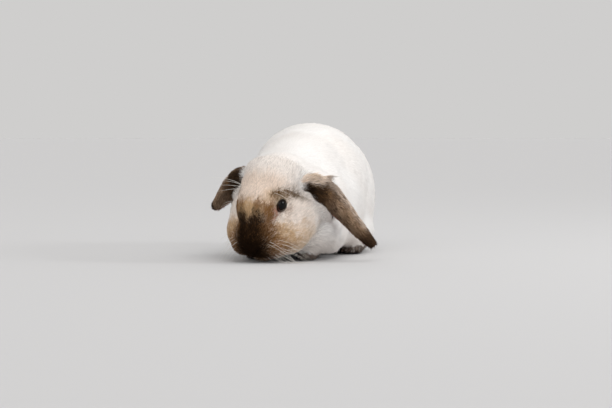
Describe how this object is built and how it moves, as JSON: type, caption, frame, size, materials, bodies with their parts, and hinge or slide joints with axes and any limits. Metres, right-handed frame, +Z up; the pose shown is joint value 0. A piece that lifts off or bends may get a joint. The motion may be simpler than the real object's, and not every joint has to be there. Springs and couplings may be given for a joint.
{
  "type": "holland lop rabbit",
  "caption": "Life-size lop-eared dwarf rabbit, crouched on the ground with its head lowered and turned aside, ears hanging.",
  "frame": {"origin": "middle of the bounding box's floor, on the ground that the soles stand on", "axes": "+Y along the animal from its nose to its tail, +X to the animal's left, +Z up"},
  "size_m": [0.1744, 0.2854, 0.1306],
  "materials": {
    "body_fur": "dense soft cream-white fur",
    "face_fur": "short beige fur, sepia on the muzzle and round the eyes",
    "point_fur": "short dark sepia fur",
    "eye": "wet, dark and glossy",
    "bare_skin": "thin pink-brown skin of the lids, nose and ear rims",
    "claw": "dark horn, satin",
    "whisker": "pale stiff hair"
  },
  "bodies": {
    "root": {"head": "face_fur", "neck": "body_fur", "torso": "body_fur", "haunch_left": "body_fur", "haunch_right": "body_fur", "foreleg_left": "body_fur", "foreleg_right": "body_fur", "forepaw_left": "point_fur", "forepaw_right": "point_fur", "hind_foot_left": "point_fur", "hind_foot_right": "point_fur", "tail": "point_fur", "ear_left": "point_fur", "ear_right": "point_fur", "eye_left": "eye", "eye_right": "eye"}
  },
  "joints": []
}
